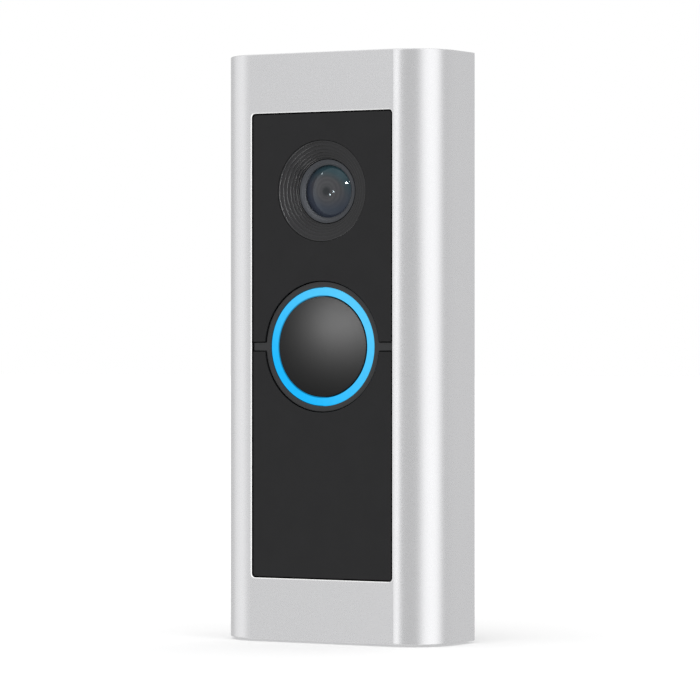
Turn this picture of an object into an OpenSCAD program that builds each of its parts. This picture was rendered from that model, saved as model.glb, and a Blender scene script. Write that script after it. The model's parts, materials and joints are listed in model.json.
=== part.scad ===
// Wired video doorbell: a pull-off metal faceplate over a two-part plastic body that holds
// a camera, a lit push button, a radar, a speaker and two boards.
// Millimetres. +Z is up, the front faces -Y and the wall is the plane y = 0.
// "Depth" is always the distance in front of the wall, so a point at depth d has y = -d.

/* [Faceplate] */
// Height of the faceplate
body_h = 114; // [112:0.5:118]
// Width of the faceplate
body_w = 49; // [48.4:0.1:52]
// Depth of the faceplate's flat front
face_d = 20.5; // [20.4:0.1:22]
// Depth at which the faceplate's rear edge stands
rear_edge_d = 3.2; // [2.5:0.1:3.4]
// Wall thickness of the faceplate
shell_t = 1.4; // [1.2:0.1:1.5]
// Radius of the two long front corners
corner_r = 9.4; // [8.6:0.1:9.6]
// How far the corner arcs would stand proud of the flat front, which leaves a faint crease
crease = 0.04; // [0.02:0.01:0.1]

/* [Window] */
// Width of the window
window_w = 31.3; // [30:0.1:31.4]
// Height of the window
window_h = 90.4; // [89:0.1:90.6]
// Height of the window's centre above the middle of the faceplate
window_z = 0.2; // [0:0.1:0.4]
// Corner radius of the window
window_r = 0.8; // [0.5:0.1:1.5]
// Gap all round between the window and the panels in it
window_gap = 0.25; // [0.2:0.05:0.4]

/* [Button] */
// Radius of the push button
button_r = 9.75; // [9.6:0.05:9.75]
// Height of the button's dome
button_dome = 1.3; // [1:0.1:1.6]
// Inner radius of the light ring
ring_in_r = 9.9; // [9.85:0.05:10]
// Outer radius of the light ring
ring_out_r = 11.4; // [11.2:0.1:11.4]
// Outer radius of the bezel round the light ring
bezel_r = 12.6; // [12.3:0.1:13]
// Height of the two bars beside the bezel
bar_h = 1.64; // [1.4:0.02:2]
// Travel of the push button
button_travel = 0.5; // [0.3:0.05:0.5]

/* [Camera] */
// Height of the camera above the middle of the faceplate
cam_z = 30.1; // [30:0.1:30.6]
// Outer radius of the camera's stepped surround
surround_r = 9.8; // [9.6:0.1:10]
// Number of steps that lead down to the lens
surround_steps = 6; // [4:1:7]
// Radius of the lens retaining ring
lens_ring_r = 6.2; // [6.1:0.05:6.3]
// Radius of the front lens where the ring holds it
lens_r = 5.5; // [5.3:0.05:5.5]
// Height of the front lens's dome
lens_dome = 1.4; // [1:0.1:1.6]

/* [Body] */
// Half the distance between the two wall-screw holes
wall_hole_z = 50.6; // [50.4:0.1:50.8]
// Radius of the wall-screw holes
wall_hole_r = 2.2; // [2:0.1:2.3]
// Radius of the recess for a wall screw's head
wall_head_r = 3.5; // [3:0.1:3.6]
// Wall thickness of the plastic body
wall_t = 1.6; // [1.4:0.1:1.6]
// Radius of the setup button
setup_r = 2; // [1.8:0.1:2]

/* [Hidden] */
$fn = 96;
eps = 1;
half_w = body_w / 2;
half_h = body_h / 2;
corner_x = half_w - corner_r;
corner_d = face_d + crease - corner_r;

// depths of the stack, from the wall forwards
back_t = 2;
split_d = 10;
ear_d = 9;
wall_head_d = 6.8;
pocket_d = 4.8;
main_d = 7.6;
main_top = main_d + 1;
led_d = 11.8;
led_top = led_d + 1;
inner_d = face_d - 3.65;
seat_d = face_d - 1.4;
panel_d = face_d - 0.2;
bezel_d = face_d - 0.5;
ring_d = bezel_d;

// the plastic body
body_inset = 2.05;
body_half_w = half_w - body_inset;
ear_half_h = half_h - shell_t - 0.3;
shell_half_h = 47;
cavity_half_w = body_half_w - wall_t;
cavity_half_h = shell_half_h - wall_t;

// places of the screws and of what they hold
housing_screw = [17.6, 42.6];
led_screw = [15, 11.5];
main_screw_x = 17;
main_screw_low = -37.5;
main_screw_high = 18.5;
camera_screw_x = 11;

// the panels' outline and the clearance between fixed pieces
panel_w = window_w - 2 * window_gap;
panel_h = window_h - 2 * window_gap;
fit = 0.1;

// the button's guide, plunger and switch
step_d = face_d - 3.1;
skirt_d = step_d + button_travel + 0.1;
plunger_r = 2;
switch_top = led_top + 1.5;
stem_top = switch_top + button_travel;
stem_r = 1.6;
seal_d = 15.45;

// the security screw at the bottom
security_d = 5.6;
security_r = 1;
security_head_r = 1.9;
security_tip = -53.2;

// the terminals in the pocket at the back
pocket = [13, 9];
pocket_z = -4;
terminal_x = 6.5;
terminal_z = -8;
terminal_r = 1.6;

// the setup button on the right-hand side
setup_d = 6.2;
setup_z = -22;
setup_switch_x = 18.2;
setup_travel = 0.4;

// the speaker and the radar behind the lower panel
speaker_z = -31;
radar_z = -29;
radar_d = 15;

// ---- helpers ----

// extrudes a flat shape drawn in X and Z from depth d0 to depth d1
module slab(d0, d1) {
  translate([0, -d0, 0]) rotate([90, 0, 0]) linear_extrude(d1 - d0) children();
}

// moves something to a place on the front
module at(x, z) {
  translate([x, 0, z]) children();
}

// a round bar along the depth
module rod(d0, d1, r) {
  slab(d0, d1) circle(r);
}

// a block of width w and height h along the depth
module block(d0, d1, w, h) {
  slab(d0, d1) square([w, h], center = true);
}

module ring_slab(d0, d1, outer, inner) {
  slab(d0, d1) difference() {
    circle(outer);
    circle(inner);
  }
}

module rounded_rect(w, h, r) {
  square([w - 2 * r, h], center = true);
  square([w, h - 2 * r], center = true);
  for (sx = [-1, 1], sz = [-1, 1]) translate([sx * (w / 2 - r), sz * (h / 2 - r)]) circle(r);
}

// a round bar from depth d0 whose front end rises from depth d1 as a spherical dome of height h
module domed_rod(d0, d1, r, h) {
  curve_r = (r * r + h * h) / (2 * h);
  intersection() {
    translate([0, curve_r - d1 - h, 0]) sphere(curve_r, $fn = 192);
    rod(d0, d1 + h + eps, r);
  }
}

// puts a child in each of four places, mirrored left to right and top to bottom
module four(p) {
  for (sx = [-1, 1], sz = [-1, 1]) at(sx * p[0], sz * p[1]) children();
}

// a pan-head screw that is driven from the wall side and points forwards
module screw(head_d, head_t, head_r, shank_r, shank_end) {
  difference() {
    union() {
      rod(head_d, head_d + head_t, head_r);
      rod(head_d + head_t, shank_end, shank_r);
    }
    for (a = [0, 90]) rotate([0, a, 0]) block(head_d - eps, head_d + head_t / 2, head_r, 0.4);
  }
}

// the body's section in X and Y, set in by a wall: flat front, two arcs, straight sides
module section(inset) {
  intersection() {
    union() {
      translate([-corner_x, -face_d]) square([2 * corner_x, face_d]);
      for (s = [-1, 1]) translate([s * corner_x, -corner_d]) circle(corner_r - inset);
      translate([inset - half_w, -corner_d]) square([2 * (half_w - inset), corner_d]);
    }
    translate([inset - half_w, inset - face_d]) square([2 * (half_w - inset), face_d - inset]);
  }
}

// the section from a rear depth forwards, as a bar that is 2 * half_len high
module section_bar(inset, rear_d, half_len) {
  translate([0, 0, -half_len]) linear_extrude(2 * half_len) difference() {
    section(inset);
    translate([-half_w, -rear_d]) square([body_w, rear_d + eps]);
  }
}

module panel_outline() {
  translate([0, window_z]) rounded_rect(panel_w, panel_h, window_r - window_gap);
}

// ---- faceplate ----

// slot for the security screw, open to the rear so that the faceplate also pulls off past it
module security_slot() {
  head_top = shell_t - 0.5;
  for (part = [[security_r + fit, shell_t + eps], [security_head_r + 0.15, head_top]]) {
    translate([0, -security_d, -half_h - eps]) cylinder(r = part[0], h = part[1] + eps);
    translate([-part[0], -security_d, -half_h - eps]) cube([2 * part[0], security_d, part[1] + eps]);
  }
}

module faceplate() {
  rib = [shell_t, 5, 8];
  color("#c9c9cb") {
    difference() {
      section_bar(0, rear_edge_d, half_h);
      section_bar(shell_t, 0, half_h - shell_t);
      slab(face_d - 3, face_d + eps)
        translate([0, window_z]) rounded_rect(window_w, window_h, window_r);
      security_slot();
    }
    // four ribs grip the sides of the body
    for (s = [-1, 1], z = [-34, 26])
      translate([s > 0 ? body_half_w + fit : -body_half_w - fit - rib[0], -9, z]) cube(rib);
  }
}

module security_screw() {
  head_t = 0.75;
  head_z = -half_h + 0.1;
  color("#3c3d40") translate([0, -security_d, 0]) difference() {
    union() {
      translate([0, 0, head_z]) cylinder(r = security_head_r, h = head_t);
      translate([0, 0, head_z]) cylinder(r = security_r, h = security_tip - head_z);
    }
    // six-sided drive recess
    translate([0, 0, head_z - eps]) cylinder(r = 0.8, h = eps + 0.5, $fn = 6);
  }
}

// ---- front of the body ----

module front_shell() {
  difference() {
    section_bar(body_inset, split_d, shell_half_h);
    section_bar(body_inset + wall_t, 0, cavity_half_h);
  }
  slab(inner_d + 0.6, seat_d) panel_outline();
  // bosses and rails stand on the inside and end within the wall
  intersection() {
    section_bar(body_inset + wall_t / 2, 0, shell_half_h - wall_t / 2);
    union() {
      four(led_screw) rod(led_top, face_d, 2.2);
      four(housing_screw) rod(split_d, face_d, 2.6);
      for (s = [-1, 1]) {
        at(s * camera_screw_x, cam_z) rod(10.6, face_d, 1.9);
        at(s * 12, radar_z) block(radar_d + 0.8, face_d, 1.2, 18);
      }
    }
  }
}

module front_housing() {
  color("#26272a") difference() {
    front_shell();
    rod(inner_d - eps, face_d, ring_out_r + 0.2);
    at(0, cam_z) rod(inner_d - eps, face_d, surround_r - 1.2);
    for (s = [-1, 1]) {
      at(s * 9, 17) rod(inner_d - eps, face_d, 2.4);
      at(s * 14.1, 3) rod(inner_d - eps, face_d, 0.5);
      at(s * camera_screw_x, cam_z) rod(10, 15, 0.85);
    }
    at(0, 17) rod(inner_d - eps, face_d, 1);
    four(led_screw) rod(led_d, inner_d - 1, 0.85);
    four(housing_screw) rod(split_d - eps, inner_d - 1, 0.95);
    // the speaker's outlet through the bottom wall
    for (x = [-8:4:8]) translate([x, -13.5, -shell_half_h - eps]) cylinder(r = 0.8, h = wall_t + 2 * eps);
  }
}

module button_bezel() {
  color("#45464a") difference() {
    slab(seat_d, bezel_d) {
      circle(bezel_r);
      square([panel_w, bar_h], center = true);
    }
    rod(seat_d - eps, face_d, ring_out_r + fit);
  }
}

// what the two panels leave clear: the bezel, its bars and, above, the camera
module panel_cutter() {
  circle(bezel_r + 0.15);
  square([body_w, bar_h + 0.3], center = true);
}

module upper_panel() {
  color("#2d2e31") slab(seat_d, panel_d) difference() {
    intersection() {
      panel_outline();
      translate([-half_w, 0]) square([body_w, half_h]);
    }
    panel_cutter();
    translate([0, cam_z]) circle(surround_r + fit);
  }
}

module lower_panel() {
  color("#2d2e31") slab(seat_d, panel_d) difference() {
    intersection() {
      panel_outline();
      translate([-half_w, -half_h]) square([body_w, half_h]);
    }
    panel_cutter();
  }
}

// ---- camera ----

module camera_surround() {
  inner_r = lens_ring_r + 0.2;
  rim_r = surround_r - 0.3;
  color("#3a3b3f") at(0, cam_z) difference() {
    union() {
      rod(seat_d, panel_d - 0.1, surround_r);
      rod(16.4, seat_d, surround_r - 1.3);
    }
    rod(16, face_d, inner_r);
    // a bowl of steps: wide and shallow outside, narrow and deep inside
    for (i = [1:surround_steps]) {
      step_r = inner_r + (rim_r - inner_r) * pow(1 - (i - 1) / surround_steps, 1.4);
      rod(panel_d - 0.15 - 1.94 * pow(i / surround_steps, 1.2), face_d, step_r);
    }
  }
}

module lens_retaining_ring() {
  color("#4a4d54") at(0, cam_z) ring_slab(17.15, 18.15, lens_ring_r, lens_r - 0.4);
}

module front_lens() {
  color("#2b3140") at(0, cam_z) {
    rod(16.25, 17.1, lens_r);
    domed_rod(16.25, 17.1, lens_r - 0.5, lens_dome);
  }
}

module second_lens() {
  color("#39424f") at(0, cam_z) {
    rod(13.5, 14.5, 4.6);
    domed_rod(13.5, 14.5, 4.4, 1);
  }
}

module third_lens() {
  color("#39424f") at(0, cam_z) {
    rod(11.1, 12.2, 4);
    domed_rod(11.1, 12.2, 3.8, 0.8);
  }
}

module lens_barrel() {
  color("#202124") at(0, cam_z) difference() {
    union() {
      rod(10.6, 17.15, lens_ring_r);
      rod(8.4, 10.6, 5);
    }
    rod(16.2, 18, lens_r + fit);
    rod(13.4, 17, 4.7);
    rod(11, 14, 4.1);
    rod(8, 12, 3.2);
  }
}

module camera_holder() {
  color("#1d1e20") at(0, cam_z) difference() {
    union() {
      block(6.2, 10.6, 14, 14);
      block(9.4, 10.6, 2 * camera_screw_x + 3.8, 4.4);
    }
    rod(7.9, 11, 5.05);
    block(7, 8, 6, 6);
    block(6, 7.4, 10.6, 10.6);
    for (s = [-1, 1]) at(s * camera_screw_x, 0) rod(9, 11, 1);
  }
}

module ir_cut_filter() {
  color("#7c2f3c") at(0, cam_z) block(7.9, 8.2, 6.8, 6.8);
}

module image_sensor() {
  color("#38404c") at(0, cam_z) block(6.2, 7.1, 8, 8);
}

module sensor_board() {
  color("#1f5b3a") at(0, cam_z) block(5.4, 6.2, 15, 15);
}

module camera_flex() {
  color("#b5762a") at(0, 23) block(5.2, 5.4, 6, 20);
}

module camera_connector() {
  color("#e8e4d8") at(0, 15.2) block(5.4, main_d, 8, 3.6);
}

module camera_screws() {
  color("#a8a9ab") for (s = [-1, 1])
    at(s * camera_screw_x, cam_z) screw(8.6, 0.8, 1.5, 0.8, 14);
}

// ---- button and light ring ----

module light_ring() {
  color("#35b4ff") difference() {
    union() {
      rod(step_d - 1.4, ring_d, ring_out_r);
      rod(step_d - 1.4, inner_d - 0.05, ring_out_r + 1);
    }
    rod(step_d, face_d, ring_in_r);
    rod(0, face_d, ring_in_r - 1.1);
  }
}

module ring_reflector() {
  color("#f2f2f0") {
    ring_slab(led_top + 0.1, 15.95, 12.3, 11.7);
    ring_slab(led_top + 0.1, 15.95, 9.75, 9.3);
    for (i = [0:11]) rotate([0, 15 + 30 * i, 0]) at(10.7, 0) block(led_top + 0.1, 15.95, 2.2, 0.5);
  }
}

module ring_leds() {
  color("#f6efc9") for (i = [0:11])
    rotate([0, 30 * i, 0]) at(10.7, 0) block(led_top, led_top + 0.7, 0.8, 1.6);
}

module led_board() {
  color("#1f5b3a") difference() {
    at(0, 3.2) slab(led_d, led_top) rounded_rect(34.4, 34.4, 1.5);
    four(led_screw) rod(led_d - eps, led_top + eps, 1);
  }
}

module led_board_screws() {
  color("#a8a9ab") four(led_screw) screw(led_d - 0.8, 0.8, 1.7, 0.8, 15.5);
}

module button_cap() {
  edge_d = bezel_d - 0.1;
  color("#3b3c3e") {
    difference() {
      domed_rod(skirt_d, edge_d, button_r, button_dome);
      rod(skirt_d - eps, edge_d - 1, button_r - 1.2);
    }
    rod(stem_top, edge_d - 0.5, plunger_r);
  }
}

module button_clip() {
  color("#b9babc") ring_slab(seal_d - 0.5, seal_d - 0.1, 3.2, plunger_r + 0.02);
}

module button_seal() {
  color("#8d9094") ring_slab(seal_d, seal_d + 0.5, 9.25, plunger_r + 0.15);
}

module button_switch() {
  color("#2a2b2d") difference() {
    block(led_top, switch_top, 6.2, 6.2);
    rod(led_top + 0.05, switch_top + eps, stem_r + fit);
  }
}

module button_switch_stem() {
  color("#d9d3bd") rod(switch_top - 0.8, stem_top, stem_r);
}

module infrared_leds() {
  color("#4a3844") for (s = [-1, 1]) at(s * 9, 17) {
    block(led_top, led_top + 0.6, 3.4, 3.4);
    domed_rod(led_top, led_top + 0.6, 1.4, 1);
  }
}

module light_sensor() {
  color("#c8c2b0") at(0, 17) block(led_top, led_top + 0.6, 2, 2);
}

module microphones() {
  color("#c9a24a") for (s = [-1, 1]) at(s * 14.1, 3) difference() {
    block(led_top, led_top + 1, 2.6, 3.6);
    rod(led_top + 0.4, led_top + 2, 0.4);
  }
}

// ---- radar and speaker ----

module radar_board() {
  color("#1f5b3a") at(0, radar_z) block(radar_d, radar_d + 0.8, 27, 18);
}

module radar_shield() {
  color("#b9babc") at(0, radar_z) difference() {
    block(radar_d - 1.3, radar_d, 16, 12);
    block(radar_d - 1.1, radar_d + eps, 15.6, 11.6);
  }
}

module speaker_frame() {
  color("#1d1e20") at(0, speaker_z) difference() {
    slab(9.4, 13.2) rounded_rect(30, 20, 4);
    slab(10.4, 14) rounded_rect(27.6, 17.6, 3);
    rod(9, 11, 5.6);
  }
}

module speaker_cone() {
  color("#2f3033") at(0, speaker_z) {
    slab(12.2, 12.6) rounded_rect(27.2, 17.2, 2.8);
    domed_rod(12.2, 12.6, 5, 0.5);
  }
}

module speaker_magnet() {
  color("#9b9ca0") at(0, speaker_z) rod(8.8, 11.6, 5.5);
}

module speaker_gasket() {
  color("#55565a") at(0, speaker_z) slab(13.2, 13.5) difference() {
    rounded_rect(30, 20, 4);
    rounded_rect(27.6, 17.6, 3);
  }
}

// ---- main board ----

module main_screw_places() {
  for (s = [-1, 1], z = [main_screw_low, main_screw_high]) at(s * main_screw_x, z) children();
}

module main_board() {
  color("#1f5b3a") difference() {
    at(0, -9.5) slab(main_d, main_top) rounded_rect(37.6, 61, 1);
    main_screw_places() rod(main_d - eps, main_top + eps, 1);
    for (s = [-1, 1]) at(s * terminal_x, terminal_z + 6.5) rod(main_d - eps, main_top + eps, 0.6);
  }
}

module main_board_screws() {
  color("#a8a9ab") main_screw_places() mirror([0, 1, 0])
    translate([0, main_top + 0.8, 0]) screw(0, 0.8, 1.7, 0.8, 6);
}

module processor() {
  color("#1b1c1e") at(0, 8) block(main_top, main_top + 0.9, 12, 12);
}

module processor_shield() {
  color("#b9babc") at(0, 8) difference() {
    block(main_top, 10, 18, 18);
    block(main_top - eps, 9.75, 17.5, 17.5);
  }
}

module thermal_pad() {
  color("#8fa7bd") at(0, 8) block(10, 10.5, 14, 14);
}

module heat_spreader() {
  color("#b4b5b8") at(0, 8) slab(10.5, 11.1) rounded_rect(24, 20, 1);
}

module wifi_module() {
  color("#c2c3c6") at(-10.5, 11.6) block(5.9, main_d, 8.6, 8);
}

module wifi_antenna() {
  color("#b5762a") at(0, 42.4) block(inner_d - 0.25, inner_d - 0.05, 26, 4.8);
}

module power_inductor() {
  color("#4c4d52") at(9.5, -16.5) slab(main_top, 11.4) rounded_rect(7, 7, 1.2);
}

module storage_capacitors() {
  color("#c7b98a") for (x = [-15, -9.4, -3.8]) at(x, -16.8) rod(main_top, 11.4, 2.4);
}

module board_connector() {
  color("#e8e4d8") at(0, -11.4) block(main_top, led_d, 12, 2.6);
}

// ---- rear of the body ----

// the two ends beyond the front shell carry the wall screws
module rear_block() {
  difference() {
    union() {
      slab(0, split_d) square([2 * body_half_w, 2 * shell_half_h], center = true);
      slab(0, ear_d) rounded_rect(2 * body_half_w, 2 * ear_half_h, 1.5);
    }
    slab(back_t, split_d + eps) square([2 * cavity_half_w, 2 * cavity_half_h], center = true);
    // pockets that keep the ends to an even wall
    for (x = [9.6, 16.6]) four([x, 51]) block(back_t, split_d, 5.4, 5.4);
  }
  at(0, pocket_z) block(back_t - 0.5, pocket_d + 1.4, 2 * pocket[0] + 3.2, 2 * pocket[1] + 3.2);
  for (s = [-1, 1]) at(s * terminal_x, terminal_z) rod(pocket_d, main_d - 0.2, 3);
  main_screw_places() rod(back_t - 0.5, main_d, 2.2);
  four(housing_screw) rod(back_t - 0.5, split_d, 2.6);
}

module rear_housing() {
  color("#2b2c2f") difference() {
    rear_block();
    at(0, pocket_z) block(-eps, pocket_d, 2 * pocket[0], 2 * pocket[1]);
    for (s = [-1, 1]) {
      at(s * terminal_x, terminal_z) rod(pocket_d - eps, main_d - 0.6, terminal_r + 0.05);
      at(s * terminal_x, terminal_z + 6.5) rod(pocket_d - eps, main_d, 0.6);
      at(0, s * wall_hole_z) rod(-eps, split_d, wall_hole_r);
      at(0, s * wall_hole_z) rod(wall_head_d, split_d, wall_head_r);
    }
    main_screw_places() rod(back_t + 0.4, main_d + eps, 0.85);
    four(housing_screw) rod(-eps, split_d + eps, 1.1);
    four(housing_screw) rod(-eps, 2.2, 2.3);
    // groove for the seal
    slab(split_d - 0.6, split_d + eps) seal_outline(fit);
    // setup button, on the right
    translate([cavity_half_w - eps, -setup_d, setup_z]) rotate([0, 90, 0])
      cylinder(r = setup_r + fit, h = wall_t + 2 * eps);
    // security screw, from below
    translate([0, -security_d, -half_h]) cylinder(r = security_r + 0.05, h = security_tip + half_h + fit);
  }
}

// a closed loop that runs round the rim between the two halves of the body
module seal_outline(extra) {
  w = 2 * (body_half_w - wall_t / 2);
  h = 2 * (shell_half_h - wall_t / 2);
  difference() {
    square([w + 0.6 + 2 * extra, h + 0.6 + 2 * extra], center = true);
    square([w - 0.6 - 2 * extra, h - 0.6 - 2 * extra], center = true);
  }
}

module housing_seal() {
  color("#8d9094") slab(split_d - 0.55, split_d - 0.02) seal_outline(0);
}

module housing_screws() {
  color("#a8a9ab") four(housing_screw) screw(0.5, 1.6, 2.1, 0.9, 14.5);
}

module terminal_plates() {
  color("#b8923f") for (s = [-1, 1]) {
    at(s * terminal_x, terminal_z) difference() {
      at(0, 2) block(pocket_d - 0.8, pocket_d, 8, 11);
      rod(0, main_d, terminal_r + 0.15);
    }
    at(s * terminal_x, terminal_z + 6.5) rod(pocket_d - 0.4, main_top + 0.6, 0.5);
  }
}

module terminal_screw(side) {
  color("#c9a75a") at(side * terminal_x, terminal_z) screw(2, 1.8, 3, terminal_r, 6.8);
}

module terminal_screw_left() {
  terminal_screw(-1);
}

module terminal_screw_right() {
  terminal_screw(1);
}

// ---- setup button ----

// a round piece of the setup button's train, from x0 to x1 along X
module setup_rod(x0, x1, r) {
  translate([x0, -setup_d, setup_z]) rotate([0, 90, 0]) cylinder(r = r, h = x1 - x0);
}

module setup_button() {
  color("#e07b28") {
    setup_rod(cavity_half_w - fit, body_half_w - 0.2, setup_r);
    setup_rod(cavity_half_w - 0.8, cavity_half_w - fit, setup_r + 0.7);
    setup_rod(setup_switch_x + 0.7, cavity_half_w - 0.8, 0.8);
  }
}

module setup_switch() {
  color("#2a2b2d") difference() {
    translate([setup_switch_x - 3.6, -main_d, setup_z - 2.4]) cube([3.6, 2.8, 4.8]);
    setup_rod(setup_switch_x - 2, setup_switch_x + eps, 0.9);
  }
}

module setup_switch_stem() {
  color("#d9d3bd") setup_rod(setup_switch_x - 1.9 + setup_travel, setup_switch_x + 0.7, 0.8);
}

faceplate();
security_screw();
front_housing();
button_bezel();
upper_panel();
lower_panel();
camera_surround();
lens_retaining_ring();
front_lens();
second_lens();
third_lens();
lens_barrel();
camera_holder();
ir_cut_filter();
image_sensor();
sensor_board();
camera_flex();
camera_connector();
camera_screws();
light_ring();
ring_reflector();
ring_leds();
led_board();
led_board_screws();
button_cap();
button_clip();
button_seal();
button_switch();
button_switch_stem();
infrared_leds();
light_sensor();
microphones();
radar_board();
radar_shield();
speaker_frame();
speaker_cone();
speaker_magnet();
speaker_gasket();
main_board();
main_board_screws();
processor();
processor_shield();
thermal_pad();
heat_spreader();
wifi_module();
wifi_antenna();
power_inductor();
storage_capacitors();
board_connector();
rear_housing();
housing_seal();
housing_screws();
terminal_plates();
terminal_screw_left();
terminal_screw_right();
setup_button();
setup_switch();
setup_switch_stem();
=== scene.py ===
"""A wired video doorbell in a white studio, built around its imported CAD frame.

Shapes are drawn in millimetres with the CAD's own words: x to the right, z up, and "depth", the
distance in front of the wall, so a point at depth d has y = -d. Meshes are scaled to metres once.
"""
import json
from math import acos, atan2, cos, degrees, pi, radians, sin, sqrt, tau

import bmesh
import bpy
from mathutils import Matrix, Vector
from mathutils.geometry import tessellate_polygon


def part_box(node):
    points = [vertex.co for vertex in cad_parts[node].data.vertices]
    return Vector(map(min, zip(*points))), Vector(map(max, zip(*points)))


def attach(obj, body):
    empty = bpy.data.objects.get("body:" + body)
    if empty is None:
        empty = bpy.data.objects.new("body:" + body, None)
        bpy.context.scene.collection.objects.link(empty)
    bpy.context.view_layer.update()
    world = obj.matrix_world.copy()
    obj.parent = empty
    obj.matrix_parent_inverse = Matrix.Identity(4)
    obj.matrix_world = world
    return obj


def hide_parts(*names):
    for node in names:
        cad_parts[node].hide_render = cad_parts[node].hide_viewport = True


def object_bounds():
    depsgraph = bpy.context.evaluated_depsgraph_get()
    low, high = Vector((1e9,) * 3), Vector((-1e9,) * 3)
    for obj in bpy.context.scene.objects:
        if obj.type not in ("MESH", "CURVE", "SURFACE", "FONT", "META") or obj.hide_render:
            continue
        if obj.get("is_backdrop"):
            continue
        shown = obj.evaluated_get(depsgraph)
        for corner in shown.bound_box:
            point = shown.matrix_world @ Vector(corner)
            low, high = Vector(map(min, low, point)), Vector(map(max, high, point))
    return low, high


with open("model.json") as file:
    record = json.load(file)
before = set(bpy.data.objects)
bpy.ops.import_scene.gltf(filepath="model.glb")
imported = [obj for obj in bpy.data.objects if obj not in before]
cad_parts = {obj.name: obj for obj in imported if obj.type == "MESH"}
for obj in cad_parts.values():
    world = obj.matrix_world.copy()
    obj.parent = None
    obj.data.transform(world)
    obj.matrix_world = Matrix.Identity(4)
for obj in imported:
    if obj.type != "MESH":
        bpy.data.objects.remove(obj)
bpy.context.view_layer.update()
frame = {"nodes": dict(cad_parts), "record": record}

MM = 0.001
RECORD = frame["record"]
BODY_OF = {n: body for body, members in RECORD["behaviour"]["bodies"].items() for n in members}
SLOT_OF = {part["node"]: part["material_slot"] for part in RECORD["subparts"]}


class Span:
    """A CAD node's box in millimetres: its right side x1, its heights z0 and z1, its depths back
    and front, its middle at x, z and depth, and its width and height w and h."""

    def __init__(self, node):
        low, high = (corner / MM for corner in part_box(node))
        self.x1, self.z0, self.z1 = high.x, low.z, high.z
        self.back, self.front = -high.y, -low.y
        self.x, self.z = (low.x + high.x) / 2, (low.z + high.z) / 2
        self.depth = (self.back + self.front) / 2
        self.w, self.h = high.x - low.x, high.z - low.z


FACE = Span("faceplate")
LENS = Span("front_lens")
BUTTON = Span("button_cap")


# ---- outlines ----

def arc(cx, cy, r, start, end, steps):
    """Points along an arc, in degrees, both ends included."""
    angles = [radians(start + (end - start) * i / steps) for i in range(steps + 1)]
    return [(cx + r * cos(a), cy + r * sin(a)) for a in angles]


def hole(cx, cy, r, steps=128):
    """A circle drawn clockwise, as a hole in a plate is."""
    return [(cx + r * cos(tau * i / steps), cy - r * sin(tau * i / steps)) for i in range(steps)]


def rectangle(cx, cy, w, h, r=0.0, steps=6):
    """A rectangle drawn anticlockwise, with rounded corners if r is above 0."""
    hw, hh = w / 2 - r, h / 2 - r
    if r <= 0:
        return [(cx - hw, cy - hh), (cx + hw, cy - hh), (cx + hw, cy + hh), (cx - hw, cy + hh)]
    corners = [(hw, -hh, -90), (hw, hh, 0), (-hw, hh, 90), (-hw, -hh, 180)]
    return [p for x, y, a in corners for p in arc(cx + x, cy + y, r, a, a + 90, steps)]


def inset_loop(loop, inset):
    """The loop moved to its left by inset, which is into the material on every loop here."""
    moved = []
    for i, point in enumerate(loop):
        before, here, after = Vector(loop[i - 1]), Vector(point), Vector(loop[(i + 1) % len(loop)])
        a, b = (here - before).normalized(), (after - here).normalized()
        na, nb = Vector((-a.y, a.x)), Vector((-b.y, b.x))
        moved.append(tuple(here + (na + nb) * (inset / (1 + na.dot(nb)))))
    return moved


def filleted(points, radius, closed=True, steps=3):
    """A polyline with its corners rounded. A point may carry its own radius as a third number."""
    out = []
    last = len(points) - 1
    for i, point in enumerate(points):
        own = point[2] if len(point) > 2 else radius
        here = Vector(point[:2])
        if own <= 0 or (not closed and i in (0, last)):
            out.append(tuple(here))
            continue
        before, after = Vector(points[i - 1][:2]), Vector(points[(i + 1) % len(points)][:2])
        a, b = (before - here), (after - here)
        reach = min(own, a.length * 0.45, b.length * 0.45)
        start, end = here + a.normalized() * reach, here + b.normalized() * reach
        for k in range(steps + 1):
            t = k / steps
            out.append(tuple(start.lerp(here, t).lerp(here.lerp(end, t), t)))
    return out


# ---- solids ----

def solid(points, faces):
    """A bmesh in millimetres from points and faces, with its normals outside."""
    bm = bmesh.new()
    verts = [bm.verts.new(p) for p in points]
    for face in faces:
        bm.faces.new([verts[i] for i in face])
    bmesh.ops.recalc_face_normals(bm, faces=bm.faces)
    return bm


def joined(*parts):
    """Several bmeshes as one."""
    out = bmesh.new()
    for part in parts:
        mesh = bpy.data.meshes.new("part")
        part.to_mesh(mesh)
        part.free()
        out.from_mesh(mesh)
        bpy.data.meshes.remove(mesh)
    return out


def plate(loops, back, front, edge, back_edge=None):
    """A flat piece between two depths. The first loop runs anticlockwise, its holes clockwise."""
    rear = edge if back_edge is None else back_edge
    levels = []
    for inset, depth, sign in ((rear, back, 1), (edge, front, -1)):
        steps = [0] if inset <= 0 else [0, 0.3, 0.7, 1]
        ring = [(inset * (1 - sin(t * pi / 2)), depth + sign * inset * (1 - cos(t * pi / 2)))
                for t in steps]
        levels += ring if sign > 0 else ring[::-1]
    verts, faces, caps = [], [], []
    for loop in loops:
        count = len(loop)
        start = len(verts)
        for inset, depth in levels:
            verts += [(x, -depth, z) for x, z in inset_loop(loop, inset)]
        for level in range(len(levels) - 1):
            a, b = start + level * count, start + (level + 1) * count
            for i in range(count):
                j = (i + 1) % count
                faces.append((a + i, a + j, b + j, b + i))
        caps.append((start, start + (len(levels) - 1) * count, count))
    for which in (0, 1):
        rims = [range(cap[which], cap[which] + cap[2]) for cap in caps]
        flat = [[Vector((verts[i][0], verts[i][2], 0)) for i in rim] for rim in rims]
        index = [i for rim in rims for i in rim]
        faces += [tuple(index[k] for k in triangle) for triangle in tessellate_polygon(flat)]
    return solid(verts, faces)


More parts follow.
